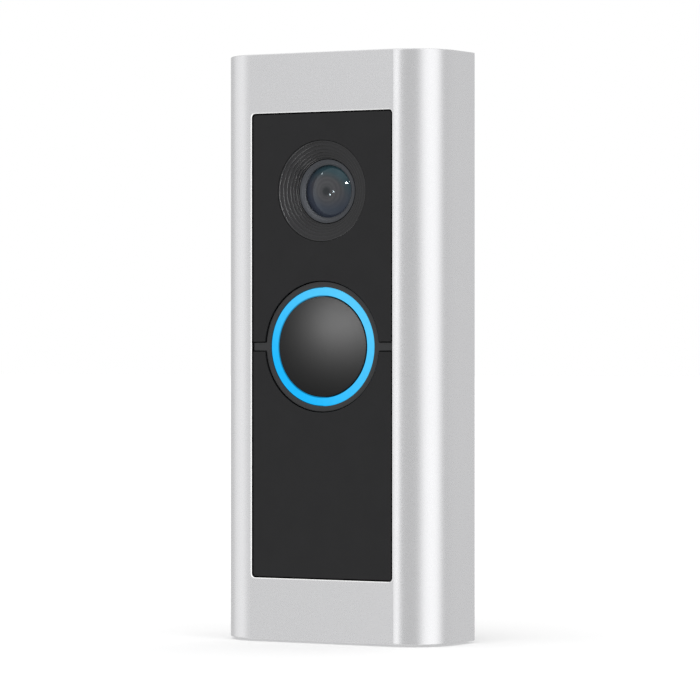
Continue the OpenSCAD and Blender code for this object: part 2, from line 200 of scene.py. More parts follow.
def turned(profile, steps=96):
    """A piece turned about its own axis: profile is a list of (radius, height), closed unless it
    starts and ends on the axis. The height becomes +Z until the piece is placed."""
    closed = profile[0][0] > 0
    verts, rings, faces = [], [], []
    for r, h in profile:
        if r <= 1e-9:
            rings.append([len(verts)] * steps)
            verts.append((0, 0, h))
        else:
            rings.append(list(range(len(verts), len(verts) + steps)))
            verts += [(r * cos(tau * i / steps), r * sin(tau * i / steps), h) for i in range(steps)]
    pairs = list(zip(rings, rings[1:])) + ([(rings[-1], rings[0])] if closed else [])
    for a, b in pairs:
        for i in range(steps):
            j = (i + 1) % steps
            face = tuple(dict.fromkeys([a[i], a[j], b[j], b[i]]))
            if len(face) > 2:
                faces.append(face)
    return solid(verts, faces)


def forwards(x=0.0, z=0.0, turn=0.0):
    """Places a turned piece with its axis along the depth: height h ends up at depth h."""
    axis = Matrix(((1, 0, 0, x), (0, 0, -1, 0), (0, 1, 0, z), (0, 0, 0, 1)))
    return axis @ Matrix.Rotation(turn, 4, "Z")


def set_at(bm, place):
    """The bmesh, moved to its place."""
    bm.transform(place)
    return bm


def thread(radius, cut, pitch, start, end, steps=32):
    """A threaded shank with a pointed lead-in, as rings whose radius follows a helix."""
    rows_a_turn = 8
    rows = max(rows_a_turn, int((end - start) / pitch * rows_a_turn))
    verts, faces = [(0, 0, start)], []
    for row in range(rows + 1):
        h = start + (end - start) * row / rows
        taper = min(1.0, (end - h) / (2 * pitch) + 0.55)
        for i in range(steps):
            phase = (h / pitch - i / steps) % 1.0
            groove = cut * (1 - abs(2 * phase - 1)) * taper
            r = (radius - groove) * taper
            verts.append((r * cos(tau * i / steps), r * sin(tau * i / steps), h))
    verts.append((0, 0, end))
    for i in range(steps):
        j = (i + 1) % steps
        faces.append((0, 1 + j, 1 + i))
        for row in range(rows):
            a, b = 1 + row * steps, 1 + (row + 1) * steps
            faces.append((a + i, a + j, b + j, b + i))
        top = 1 + rows * steps
        faces.append((top + i, top + j, len(verts) - 1))
    return solid(verts, faces)


def minus(body, *cutters):
    """body with each cutter taken out, by an exact boolean."""
    objects = []
    for part in (body, *cutters):
        mesh = bpy.data.meshes.new("cut")
        part.to_mesh(mesh)
        part.free()
        objects.append(bpy.data.objects.new("cut", mesh))
        bpy.context.scene.collection.objects.link(objects[-1])
    for cutter in objects[1:]:
        modifier = objects[0].modifiers.new("cut", "BOOLEAN")
        modifier.operation = "DIFFERENCE"
        modifier.solver = "EXACT"
        modifier.object = cutter
    graph = bpy.context.evaluated_depsgraph_get()
    bm = bmesh.new()
    bm.from_object(objects[0], graph)
    for obj in objects:
        mesh = obj.data
        bpy.data.objects.remove(obj)
        bpy.data.meshes.remove(mesh)
    return bm


# how close points are when they are welded, and the bend in degrees below which an edge is dropped
WELD = 0.0015
FLAT = 0.4


def softened(bm, width, angle, segments=2):
    """Rounds the edges of a solid that are sharper than an angle in degrees."""
    bmesh.ops.remove_doubles(bm, verts=bm.verts, dist=WELD)
    bmesh.ops.dissolve_limit(bm, angle_limit=radians(FLAT), verts=bm.verts, edges=bm.edges)
    edges = [e for e in bm.edges if len(e.link_faces) == 2 and e.calc_face_angle() > radians(angle)]
    bmesh.ops.bevel(bm, geom=edges, offset=width, offset_type="OFFSET", segments=segments,
                    profile=0.5, affect="EDGES", clamp_overlap=True)
    return bm


def cad_solid(node):
    """A copy of a CAD node's mesh, in millimetres."""
    bm = bmesh.new()
    bm.from_mesh(frame["nodes"][node].data)
    bm.transform(Matrix.Scale(1 / MM, 4))
    return bm


def piece(node, bm, angle=32.0):
    """Turns a bmesh in millimetres into the shown piece that stands for a CAD node. Edges sharper
    than the angle in degrees stay crisp."""
    bm.transform(Matrix.Scale(MM, 4))
    mesh = bpy.data.meshes.new(f"{node}_visual")
    bm.to_mesh(mesh)
    bm.free()
    for polygon in mesh.polygons:
        polygon.use_smooth = True
    mesh.set_sharp_from_angle(angle=radians(angle))
    obj = bpy.data.objects.new(mesh.name, mesh)
    bpy.context.scene.collection.objects.link(obj)
    even = obj.modifiers.new("even normals", "WEIGHTED_NORMAL")
    even.keep_sharp = True
    even.weight = 100
    mesh.materials.append(MATERIALS[SLOT_OF[node]])
    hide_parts(node)
    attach(obj, BODY_OF[node])
    return obj


# ---- materials ----

class Shader:
    """A material's node tree, with the few helpers that the materials below share."""

    def __init__(self, name):
        self.material = bpy.data.materials.new(name)
        self.material.use_nodes = True
        self.tree = self.material.node_tree
        self.surface = self.tree.nodes["Principled BSDF"]
        self.place = self.tree.nodes.new("ShaderNodeTexCoord").outputs["Object"]

    def add(self, kind, inputs=None, **settings):
        """A new node, with its inputs linked or set."""
        node = self.tree.nodes.new(kind)
        for key, value in settings.items():
            setattr(node, key, value)
        for key, value in (inputs or {}).items():
            self.link(value, node.inputs[key])
        return node

    def link(self, value, socket):
        """Links one socket to another, or sets it to a plain value."""
        if isinstance(value, bpy.types.NodeSocket):
            self.tree.links.new(value, socket)
        else:
            socket.default_value = value

    def set(self, **values):
        """Sets inputs of the surface: underscores stand for spaces."""
        for key, value in values.items():
            self.link(value, self.surface.inputs[key.replace("_", " ")])

    def noise(self, size_mm, detail=3.0, stretch=None):
        """Noise with features of about that size. stretch squeezes it along X, Y and Z."""
        place = self.place
        if stretch:
            squeezed = self.add("ShaderNodeMapping", {"Vector": place, "Scale": stretch})
            place = squeezed.outputs["Vector"]
        inputs = {"Vector": place, "Scale": 1 / (size_mm * MM), "Detail": detail}
        return self.add("ShaderNodeTexNoise", inputs).outputs["Fac"]

    def spread(self, value, low, high, start=0.3, end=0.7):
        """value mapped from start..end to low..high."""
        node = self.add("ShaderNodeMapRange", {"Value": value, "From Min": start, "From Max": end,
                                               "To Min": low, "To Max": high})
        return node.outputs["Result"]

    def mix(self, factor, a, b):
        node = self.add("ShaderNodeMix", data_type="RGBA")
        self.link(factor, node.inputs["Factor"])
        self.link(a, node.inputs["A"])
        self.link(b, node.inputs["B"])
        return node.outputs["Result"]

    def math(self, operation, a, b=0.0):
        node = self.add("ShaderNodeMath", operation=operation)
        self.link(a, node.inputs[0])
        self.link(b, node.inputs[1])
        return node.outputs[0]

    def axes(self):
        """The place's three coordinates, each a socket."""
        return self.add("ShaderNodeSeparateXYZ", {"Vector": self.place}).outputs

    def radius(self, x, z):
        """The distance from the axis that x and z are measured from."""
        square = self.math("ADD", self.math("MULTIPLY", x, x), self.math("MULTIPLY", z, z))
        return self.math("SQRT", square)

    def stripes(self, value, period_mm):
        """A sine from -1 to 1 that repeats after a distance."""
        return self.math("SINE", self.math("MULTIPLY", value, tau / (period_mm * MM)))

    def bump(self, *layers):
        """Stacks bumps: each layer is (height, depth in micrometres)."""
        normal = None
        for height, depth_um in layers:
            inputs = {"Height": height, "Strength": 1.0, "Distance": depth_um * 1e-6}
            if normal:
                inputs["Normal"] = normal
            normal = self.add("ShaderNodeBump", inputs).outputs["Normal"]
        self.link(normal, self.surface.inputs["Normal"])


def rgba(colour, factor=1.0):
    """The colour times a factor, fully opaque."""
    return (*[min(1.0, c * factor) for c in colour[:3]], 1.0)


def shades(sh, colour, amount, factor):
    """The colour made a little darker and lighter by a factor from 0 to 1."""
    return sh.mix(factor, rgba(colour, 1 - amount), rgba(colour, 1 + amount))


def moulded(name, colour, rough, grain_mm, grain_um, gloss=0.4, mottle=0.10, wave_um=20.0,
            uneven=0.05):
    """Moulded plastic: fine spark-eroded grain, faint flow mottling and uneven gloss.

    rough and gloss are the shader's roughness and specular level. The grain has a size and a
    depth, the slow flow waves a depth, mottle is the share by which the colour varies, and
    uneven is how far the roughness does.
    """
    sh = Shader(name)
    grain = sh.noise(grain_mm, 4.0)
    flow = sh.noise(6.0, 3.0)
    sh.set(Base_Color=shades(sh, colour, mottle, sh.spread(flow, 0, 1)),
           Roughness=sh.spread(sh.noise(2.5), rough - uneven, rough + uneven),
           Specular_IOR_Level=gloss)
    sh.bump((grain, grain_um), (flow, wave_um))
    return sh


def metal(name, colour, rough, grain_mm, grain_um, stretch=None, mottle=0.05):
    """Metal with a blasted, or with stretch a rolled or turned, grain."""
    sh = Shader(name)
    grain = sh.noise(grain_mm, 4.0, stretch)
    sh.set(Metallic=1.0,
           Base_Color=shades(sh, colour, mottle, sh.spread(grain, 0, 1, 0.2, 0.8)),
           Roughness=sh.spread(sh.noise(4.0), rough - 0.04, rough + 0.04))
    sh.bump((grain, grain_um))
    return sh


def soft_rubber(name, colour, rough=0.7):
    """Rubber or foam: matt, with fine pores and a dusty sheen."""
    sh = Shader(name)
    pores = sh.add("ShaderNodeTexVoronoi", {"Vector": sh.place, "Scale": 1 / (0.35 * MM)})
    sh.set(Base_Color=shades(sh, colour, 0.15, sh.spread(sh.noise(1.5), 0, 1)),
           Roughness=sh.spread(sh.noise(0.8), rough - 0.08, rough + 0.08),
           Sheen_Weight=0.2, Specular_IOR_Level=0.25)
    sh.bump((pores.outputs["Distance"], 12.0))
    return sh


def satin_nickel(name, colour):
    """Bead-blasted and plated: an even, fine grain that sparkles a little."""
    sh = Shader(name)
    grain = sh.noise(0.22, 2.0)
    cloud = sh.noise(9.0, 2.0)
    tone = sh.mix(sh.spread(grain, 0, 1, 0.25, 0.75), rgba(colour, 0.95), rgba(colour, 1.05))
    sh.set(Metallic=1.0, Base_Color=tone,
           Roughness=sh.math("ADD", sh.spread(grain, 0.26, 0.31), sh.spread(cloud, -0.01, 0.01)))
    sh.bump((grain, 0.9))
    return sh


def bright_cut():
    """The chamfer round the window: a lighter, smoother copy of the plating, which paints a
    highlight line round the window.
    """
    return metal("bright_cut", (0.93, 0.93, 0.93), 0.22, 0.15, 0.3, mottle=0.02).material


def window_plastic(name, colour):
    """Smooth, dark, infrared-clear plastic with a satin surface."""
    sh = Shader(name)
    sh.set(Base_Color=shades(sh, colour, 0.06, sh.spread(sh.noise(5.0), 0, 1)),
           Roughness=sh.spread(sh.noise(1.2), 0.30, 0.34), Specular_IOR_Level=0.24)
    sh.bump((sh.noise(0.12, 2.0), 0.2))
    return sh


def coated_glass(name, tint):
    """Dark lens glass with faint rings: grey, with painted shade darkening its centre, painted
    shade tinted deep blue to the low left, and a painted teal reflection to the high right.
    """
    sh = Shader(name)
    axes = sh.axes()
    x, z = axes["X"], sh.math("SUBTRACT", axes["Z"], LENS.z * MM)
    radius = sh.radius(x, z)
    grey, pale_grey = (0.044, 0.042, 0.045, 1), (0.054, 0.052, 0.055, 1)
    # black for the painted shade in the centre, blue for the painted shade at the low left, teal
    # for the painted reflection at the high right
    black, blue, teal = (0.018, 0.018, 0.019, 1), (0.030, 0.036, 0.052, 1), (0.021, 0.045, 0.055, 1)
    ripple = sh.spread(sh.stripes(radius, 0.8), 0, 1, -1, 1)
    middle = sh.mix(ripple, grey, pale_grey)
    # painted shade: the dark centre, where the lens's shaded inside shows
    pupil_shade = sh.spread(radius, 1, 0, 0.5 * MM, 1.3 * MM)
    high_right = sh.math("MULTIPLY", sh.math("ADD", sh.math("MULTIPLY", x, 0.4), z), 0.5)
    # painted shade towards the low left, tinted the deep blue of the coating
    rim = sh.spread(sh.math("SUBTRACT", radius, high_right), 0, 1, 2.4 * MM, 5.4 * MM)
    # painted teal reflection towards the high right
    high = sh.spread(sh.math("ADD", radius, high_right), 0, 1, 3.9 * MM, 6.0 * MM)
    iris = sh.mix(high, sh.mix(pupil_shade, middle, black), teal)
    sh.set(Base_Color=sh.mix(rim, iris, blue),
           Roughness=sh.spread(sh.noise(2.0), 0.04, 0.06), IOR=1.52, Transmission_Weight=0.15,
           Specular_IOR_Level=0.28, Specular_Tint=tint)
    return sh


def lit_guide(name, colour):
    """The light guide: it shines deep blue at the low left, paler to the high right with a painted
    highlight, and dark at the bore with painted shade in the gap to the cap.
    """
    sh = Shader(name)
    axes = sh.axes()
    x, z = axes["X"], axes["Z"]
    # deep blue, a lighter blue for the painted highlight, and dark blue for the painted shade at
    # the bore
    deep, highlight_blue, dark = (0.006, 0.45, 0.90, 1), (0.09, 0.57, 0.92, 1), (0.004, 0.06, 0.14, 1)
    # painted highlight: the emitted colour grows lighter towards the high right
    across = sh.spread(sh.math("ADD", x, z), 0, 1, -GUIDE_R * 1.2 * MM, GUIDE_R * 1.2 * MM)
    glow_and_highlight = sh.mix(across, deep, highlight_blue)
    # painted shade: the emitted colour darkens at the bore, in the gap to the cap
    edge = sh.spread(sh.radius(x, z), 0, 1, (GUIDE_BORE - 0.05) * MM, (GUIDE_BORE + 0.08) * MM)
    speckle = sh.spread(sh.noise(0.8), 0.96, 1.02)
    lit = sh.mix(edge, dark, glow_and_highlight)
    sh.set(Base_Color=rgba(colour, 0.1), Roughness=sh.spread(sh.noise(1.0), 0.3, 0.4),
           Specular_IOR_Level=0.1, Emission_Color=lit, Emission_Strength=speckle)
    sh.bump((sh.noise(0.3), 2.0))
    return sh


def circuit_board(name, colour):
    """Solder mask over copper: tracks that run one way or the other in squares, and tinned vias."""
    sh = Shader(name)
    axes = sh.axes()
    flat = sh.add("ShaderNodeCombineXYZ", {"X": axes["X"], "Y": axes["Z"]})
    zone = sh.add("ShaderNodeTexVoronoi", {"Vector": flat.outputs[0], "Scale": 1 / (5 * MM)},
                  voronoi_dimensions="2D", distance="CHEBYCHEV")
    pick = sh.add("ShaderNodeSeparateColor", {"Color": zone.outputs["Color"]})
    tracks = [sh.math("GREATER_THAN", sh.stripes(axes[axis], 0.7), 0.35) for axis in ("X", "Z")]
    across = sh.math("GREATER_THAN", pick.outputs[0], 0.5)
    chosen = sh.add("ShaderNodeMix", {"Factor": across, "A": tracks[0], "B": tracks[1]})
    filled = sh.math("GREATER_THAN", pick.outputs[1], 0.35)
    shown = sh.math("MULTIPLY", chosen.outputs["Result"], filled)
    via = sh.add("ShaderNodeTexVoronoi", {"Vector": flat.outputs[0], "Scale": 1 / (2.2 * MM)},
                 voronoi_dimensions="2D")
    dot = sh.math("LESS_THAN", via.outputs["Distance"], 0.12)
    mask = sh.mix(shown, rgba(colour, 0.8), rgba(colour, 1.6))
    sh.set(Base_Color=sh.mix(dot, mask, (0.62, 0.56, 0.40, 1)),
           Metallic=sh.math("MULTIPLY", dot, 0.9),
           Roughness=sh.spread(sh.noise(1.0), 0.28, 0.4), Coat_Weight=0.4)
    sh.bump((shown, 25.0), (sh.noise(0.4), 3.0))
    return sh


def film(name, colour):
    """Amber film over copper tracks."""
    sh = Shader(name)
    track = sh.spread(sh.stripes(sh.axes()["X"], 0.6), 0, 1, 0.1, 0.3)
    sh.set(Base_Color=sh.mix(track, rgba(colour, 0.75), rgba(colour, 1.35)),
           Roughness=sh.spread(sh.noise(1.5), 0.25, 0.4), Coat_Weight=0.5)
    sh.bump((track, 12.0))
    return sh


def dark_glass(name, colour):
    """A coated filter or dome that lets little light through."""
    sh = Shader(name)
    sh.set(Base_Color=shades(sh, colour, 0.1, sh.spread(sh.noise(1.0), 0, 1)),
           Roughness=sh.spread(sh.noise(0.6), 0.05, 0.12), Transmission_Weight=0.3, Coat_Weight=0.6)
    sh.bump((sh.noise(0.4), 0.5))
    return sh


# the light guide's inner and outer radius
GUIDE_BORE = 9.9
GUIDE_R = 11.4
# how much finer a grain is along Z than across it
TURNED = (1, 1, 12)
ROLLED = (1, 1, 10)
DRAWN = (1, 1, 6)
COLOURS = {m["slot"]: m["base_color"] for m in RECORD["materials"]}
# moulded and metal take a roughness, then the grain's size in millimetres and depth in micrometres
MAKERS = {
    "satin_nickel": lambda n, c: satin_nickel(n, rgba(c, 1.18)),
    "black_housing": lambda n, c: moulded(n, c, 0.55, 0.22, 6.0, 0.35),
    "bezel_grey": lambda n, c: moulded(n, rgba(c, 0.8), 0.42, 0.15, 1.0, 0.3, mottle=0.05),
    "panel_black": window_plastic,
    "surround_black": lambda n, c: moulded(n, rgba(c, 0.58), 0.30, 0.15, 0.12, 0.42, mottle=0.05,
                                           wave_um=0.5, uneven=0.02),
    "lens_metal": lambda n, c: moulded(n, rgba(c, 0.76), 0.35, 0.15, 0.8, 0.4, mottle=0.05,
                                       wave_um=1.0),
    "lens_glass": lambda n, c: coated_glass(n, (0.78, 0.93, 1.0, 1)),
    "light_blue": lit_guide,
    "button_black": lambda n, c: moulded(n, rgba(c, 0.1), 0.47, 0.16, 0.6, 0.05, mottle=0.05,
                                         wave_um=0.5, uneven=0.005),
    "white_plastic": lambda n, c: moulded(n, c, 0.45, 0.3, 3.0),
    "led_yellow": lambda n, c: moulded(n, c, 0.25, 0.4, 2.0, 0.6),
    "board_green": circuit_board,
    "copper_flex": film,
    "filter_red": dark_glass,
    "chip_black": lambda n, c: moulded(n, c, 0.6, 0.12, 4.0, 0.35),
    "cream_plastic": lambda n, c: moulded(n, c, 0.4, 0.3, 3.0),
    "steel": lambda n, c: metal(n, c, 0.30, 0.25, 1.5, TURNED),
    "black_steel": lambda n, c: metal(n, c, 0.38, 0.2, 2.0),
    "tin_shield": lambda n, c: metal(n, c, 0.32, 0.3, 1.5, DRAWN),
    "spreader_aluminium": lambda n, c: metal(n, c, 0.36, 0.3, 2.0, ROLLED),
    "thermal_blue": soft_rubber,
    "grey_silicone": lambda n, c: soft_rubber(n, c, 0.6),
    "speaker_black": lambda n, c: moulded(n, c, 0.5, 0.3, 5.0),
    "cone_black": lambda n, c: soft_rubber(n, c, 0.65),
    "magnet_nickel": lambda n, c: metal(n, c, 0.18, 0.5, 1.0),
    "terminal_brass": lambda n, c: metal(n, c, 0.28, 0.25, 2.0, TURNED),
    "gold_can": lambda n, c: metal(n, c, 0.25, 0.2, 1.0),
    "capacitor_film": lambda n, c: moulded(n, c, 0.3, 0.4, 2.0, 0.5),
    "ferrite": lambda n, c: moulded(n, c, 0.7, 0.1, 6.0, 0.3),
    "setup_orange": lambda n, c: moulded(n, c, 0.4, 0.2, 3.0),
    "stem_cream": lambda n, c: moulded(n, c, 0.4, 0.2, 3.0),
    "ir_violet": dark_glass,
}
MATERIALS = {slot: MAKERS[slot](slot, COLOURS[slot]).material for slot in COLOURS}


# ---- faceplate ----

SHELL_T = 1.4
CORNER_R = 9.4
# how far the corner arcs would stand proud of the flat front
CREASE = 0.04
WINDOW_GAP = 0.25
WINDOW_R = 0.8
# the slot for the security screw, narrow for its shank and wide for its head
SHANK_SLOT_R = 1.1
HEAD_SLOT_R = 2.05
HEAD_SLOT_DEEP = 0.5
# the ribs inside that grip the body: where their feet are, their size, and the depths they span
RIB_FEET = (-34, 26)
RIB_W, RIB_H = 1.4, 8
RIB_BACK, RIB_FRONT = 4, 9


def section_points(inset, rear):
    """The faceplate's section: flat front, a faint crease, two long arcs and straight sides."""
    r = CORNER_R - inset
    half = FACE.x1 - inset
    front = FACE.front - inset
    corner_x = FACE.x1 - CORNER_R
    corner_d = FACE.front + CREASE - CORNER_R
    tilt = degrees(acos((front - corner_d) / r))
    right = arc(corner_x, corner_d, r, 0, 90 - tilt, 40)
    return [(-half, rear)] + [(half, rear)] + right + [(-x, d) for x, d in right[::-1]]


def upright(points, low, high):
    """A closed outline in x and depth, drawn as a bar from height low to high."""
    count = len(points)
    verts = [(x, -d, z) for z in (low, high) for x, d in points]
    faces = [(i, (i + 1) % count, count + (i + 1) % count, count + i) for i in range(count)]
    faces += [tuple(range(count)), tuple(range(count, 2 * count))]
    return solid(verts, faces)


def slot_points(r, depth):
    """A slot that is open to the rear and round at its front end."""
    return [(-r, -1), (r, -1)] + arc(0, depth, r, 0, 180, 16)


def faceplate():
    """A shell that is open to the rear, with the window cut in its front."""
    upper, lower = Span("upper_panel"), Span("lower_panel")
    screw = Span("security_screw")
    width = upper.w + 2 * WINDOW_GAP
    height = upper.z1 - lower.z0 + 2 * WINDOW_GAP
    centre = (upper.z1 + lower.z0) / 2
    window = rectangle(0, centre, width, height, WINDOW_R, 8)
    inside_floor = FACE.z0 + SHELL_T
    shell = minus(
        upright(section_points(0, FACE.back), FACE.z0, FACE.z1),
        upright(section_points(SHELL_T, -1), inside_floor, FACE.z1 - SHELL_T),
        plate([window], FACE.front - 3, FACE.front + 3, 0),
        upright(slot_points(SHANK_SLOT_R, screw.depth), FACE.z0 - 1, inside_floor + 1),
        upright(slot_points(HEAD_SLOT_R, screw.depth), FACE.z0 - 1, inside_floor - HEAD_SLOT_DEEP))
    softened(shell, 0.22, 40, segments=3)
    ribs = []
    for side in (-1, 1):
        for foot in RIB_FEET:
            outline = rectangle(side * (FACE.x1 - SHELL_T + 0.15), foot + RIB_H / 2, RIB_W, RIB_H)
            ribs.append(plate([outline], RIB_BACK, RIB_FRONT, 0.15))
    obj = piece("faceplate", joined(shell, *ribs), angle=4.0)
    # the chamfer takes the lighter copy of the plating, a painted highlight line
    obj.data.materials.append(bright_cut())
    # the chamfer's faces are slanted and lie close to the window's edge
    near_w, near_h, near_d = width / 2 + 0.3, height / 2 + 0.3, FACE.front - 0.4
    for polygon in obj.data.polygons:
        x, y, z = polygon.center / MM
        slanted = 0.15 < abs(polygon.normal.y) < 0.97
        if slanted and -y > near_d and abs(x) < near_w and abs(z - centre) < near_h:
            polygon.material_index = 1


# ---- window ----

BAR_HALF_H = 0.82
PANEL_GAP = 0.15


def button_bezel():
    """A ring round the light guide, with a bar to each side."""
    bezel = Span("button_bezel")
    bezel_r = bezel.h / 2
    join = degrees(atan2(BAR_HALF_H, sqrt(bezel_r**2 - BAR_HALF_H**2)))
    over = arc(0, 0, bezel_r, join, 180 - join, 80)
    outline = [(bezel.x1, -BAR_HALF_H), (bezel.x1, BAR_HALF_H)] + over
    outline += [(-bezel.x1, BAR_HALF_H), (-bezel.x1, -BAR_HALF_H)]
    outline += [(x, -z) for x, z in over[::-1]]
    bore = hole(0, 0, GUIDE_R + 0.1)
    piece("button_bezel", plate([outline, bore], bezel.back, bezel.front, 0.16, 0.05))


def window_panels():
    """The upper and the lower panel, which leave room for the bezel and the camera's surround."""
    surround = Span("camera_surround")
    corner = WINDOW_R - WINDOW_GAP
    round_r = Span("button_bezel").h / 2 + PANEL_GAP
    foot = BAR_HALF_H + PANEL_GAP
    cut = degrees(atan2(foot, sqrt(round_r**2 - foot**2)))
    for node, side in (("upper_panel", 1), ("lower_panel", -1)):
        span = Span(node)
        far = span.z1 if side > 0 else -span.z0
        edge = [(-span.x1, foot)] + arc(0, 0, round_r, 180 - cut, cut, 80) + [(span.x1, foot)]
        edge += arc(span.x1 - corner, far - corner, corner, 0, 90, 6)
        edge += arc(-span.x1 + corner, far - corner, corner, 90, 180, 6)
        if side > 0:
            loops = [edge, hole(surround.x, surround.z, surround.w / 2 + 0.04)]
        else:
            loops = [[(x, -z) for x, z in edge[::-1]]]
        piece(node, plate(loops, span.back, span.front, 0.1, 0.05))


# ---- camera ----

BOWL_STEPS = 6
BOWL_DEEP = 1.94


def dome(edge_r, rise, top, r_from, steps):
    """Points of a shallow dome, from a radius to its axis. It rises over edge_r to a depth."""
    curve = (edge_r**2 + rise**2) / (2 * rise)
    radii = [r_from * (1 - i / steps) for i in range(steps + 1)]
    return [(r, top - curve + sqrt(curve**2 - r * r)) for r in radii]


def camera_surround():
    """A bowl of steps: wide and shallow outside, narrow and deep inside."""
    span = Span("camera_surround")
    outer = span.w / 2
    seat = FACE.front - 1.4
    rim = outer - 0.3
    throat = Span("lens_retaining_ring").w / 2 + 0.12
    hub = outer - 1.3
    profile = [(hub, span.back), (hub, seat), (outer, seat), (outer, span.front, 0.12)]
    profile.append((rim, span.front, 0.14))
    done = [i / BOWL_STEPS for i in range(BOWL_STEPS + 1)]
    radii = [throat + (rim - throat) * (1 - share)**1.4 for share in done]
    for i in range(BOWL_STEPS):
        floor = span.front - 0.05 - BOWL_DEEP * done[i + 1]**1.2
        profile += [(radii[i], floor, 0.03), (radii[i + 1], floor, 0.14)]
    profile.append((throat, span.back))
    shape = turned(filleted(profile, 0.05, steps=4), 160)
    piece("camera_surround", set_at(shape, forwards(span.x, span.z)))


def lens_retaining_ring():
    """The ring that holds the front lens, sloping in towards it."""
    ring = Span("lens_retaining_ring")
    outer, inner = ring.w / 2, LENS.w / 2 - 0.4
    profile = [(inner, ring.back), (outer, ring.back), (outer, ring.front, 0.12),
               (inner + 0.55, ring.front, 0.08), (inner, ring.front - 0.4, 0.06)]
    shape = turned(filleted(profile, 0.03), 128)
    piece("lens_retaining_ring", set_at(shape, forwards(ring.x, ring.z)))


def lenses():
    """Three flat-backed lenses. Each has its flange's radius and width, and its dome's height."""
    for node, flange, lip, bow in (("front_lens", 5.5, 0.5, 1.4), ("second_lens", 4.6, 0.2, 1.0),
                                   ("third_lens", 4.0, 0.2, 0.8)):
        span = Span(node)
        edge_r = flange - lip
        rear = [(0, span.back), (flange, span.back), (flange, span.front - bow)]
        shape = filleted(rear, 0.08, closed=False) + dome(edge_r, bow, span.front, edge_r, 24)
        piece(node, set_at(turned(shape, 128), forwards(span.x, span.z)))


def lens_barrel():
    """A tube, slimmer at its rear, whose bore steps down towards the sensor to seat the lenses."""
    span = Span("lens_barrel")
    outer = span.w / 2
    waist, third_seat, second_seat, front_seat = 10.6, 11.0, 13.4, 16.2
    profile = [(3.2, span.back), (5.0, span.back), (5.0, waist), (outer, waist),
               (outer, span.front), (5.6, span.front), (5.6, front_seat), (4.7, front_seat),
               (4.7, second_seat), (4.1, second_seat), (4.1, third_seat), (3.2, third_seat)]
    shape = turned(filleted(profile, 0.08), 128)
    piece("lens_barrel", set_at(shape, forwards(span.x, span.z)))


# ---- button and light ring ----

def light_ring():
    """The light guide, whose rear reaches outwards as a flange and inwards behind the cap."""
    span = Span("light_ring")
    flange_r = span.w / 2
    flange_top = span.back + 0.8
    foot_r = GUIDE_BORE - 1.1
    step = FACE.front - 3.1
    profile = [(foot_r, span.back), (flange_r, span.back), (flange_r, flange_top),
               (GUIDE_R, flange_top), (GUIDE_R, span.front, 0.22), (GUIDE_BORE, span.front, 0.22),
               (GUIDE_BORE, step), (foot_r, step)]
    piece("light_ring", set_at(turned(filleted(profile, 0.05), 192), forwards()))


def button_cap():
    """The domed cap, hollow behind, with a stem in its middle."""
    r = BUTTON.w / 2
    edge = FACE.front - 0.6
    rise = 1.29
    rim = 0.25
    skirt_back = edge - 1.8
    skirt_r = r - 1.2
    inside = edge - 1
    stem_r = 2
    # a hair short of the switch's plunger when it is pressed
    foot = BUTTON.back + 0.04
    crown = dome(r, rise, edge + rise, r - rim, 40)
    lip = filleted([(r, skirt_back + 0.2), (r, edge), crown[0]], rim, closed=False, steps=5)[1:]
    rear = [(0, foot), (stem_r, foot), (stem_r, inside), (skirt_r, inside), (skirt_r, skirt_back),
            (r, skirt_back)]
    shape = filleted(rear, 0.08, closed=False) + lip + crown[1:]
    piece("button_cap", set_at(turned(shape, 192), forwards()))


def stem_rings():
    """The clip and the seal round the button's stem."""
    for node, inner, outer in (("button_clip", 2.02, 3.2), ("button_seal", 2.15, 9.25)):
        span = Span(node)
        ring = [(inner, span.back), (outer, span.back), (outer, span.front), (inner, span.front)]
        piece(node, set_at(turned(filleted(ring, 0.08), 96), forwards()))


# ---- screws ----

def recess(outline, deep):
    """A cutter for a screw's head: the outline, cut in from the head's top at height 0."""
    cutter = plate([outline], -1, deep, 0)
    cutter.transform(Matrix.Rotation(-pi / 2, 4, "X"))
    return cutter


def pan_screw(head_r, head_t, shank_r, length, pitch):
    """A cross-recessed pan-head screw: the head's top is at height 0, the point at its length."""
    shape = [(0, 0), (head_r, 0, head_t * 0.5), (head_r, head_t, 0.08), (0, head_t)]
    head = turned(filleted(shape, 0, closed=False, steps=5), 48)
    long, wide = 1.25 * head_r, 0.3 * head_r
    head = minus(head, recess(rectangle(0, 0, long, wide), head_t * 0.5),
                 recess(rectangle(0, 0, wide, long), head_t * 0.5))
    return joined(head, thread(shank_r, shank_r * 0.16, pitch, head_t - 0.05, length))


def screw_group(node, places, head_r, head_t, shank_r, pitch, from_front=False):
    """All the screws of one node, driven from behind or from the front."""
    span = Span(node)
    length = span.front - span.back
    head_d = span.front if from_front else span.back
    parts = []
    for x, z in places:
        one = pan_screw(head_r, head_t, shank_r, length, pitch)
        if from_front:
            one.transform(Matrix.Scale(-1, 4, (0, 0, 1)))
            bmesh.ops.reverse_faces(one, faces=one.faces)
        # each screw has stopped at an angle of its own
        turn = forwards(x, z, turn=0.4 * x + z)
        one.transform(Matrix.Translation((0, -head_d, 0)) @ turn)
        parts.append(one)
    piece(node, joined(*parts), angle=35)


def four(x, z):
    """One place in each quarter."""
    return [(sx * x, sz * z) for sx in (-1, 1) for sz in (-1, 1)]


def security_screw():
    """A small screw with a six-lobed recess, its head at the bottom."""
    span = Span("security_screw")
    head_r, head_t = 1.9, 0.75
    shank_r, cut, pitch = 1, 0.16, 0.45
    tip_r, valley_r = 0.85, 0.62
    shape = [(0, 0), (head_r, 0, 0.25), (head_r, head_t, 0.06), (0, head_t)]
    head = turned(filleted(shape, 0, closed=False, steps=4), 48)
    star = []
    for i in range(12):
        r = tip_r if i % 2 == 0 else valley_r
        star.append((r * cos(tau * i / 12), r * sin(tau * i / 12)))
    head = minus(head, recess(filleted(star, 0.12, steps=2), 0.5))
    body = joined(head, thread(shank_r, cut, pitch, head_t - 0.05, span.h))
    body.transform(Matrix.Translation((0, -span.depth, span.z0)))
    piece("security_screw", body, angle=35)


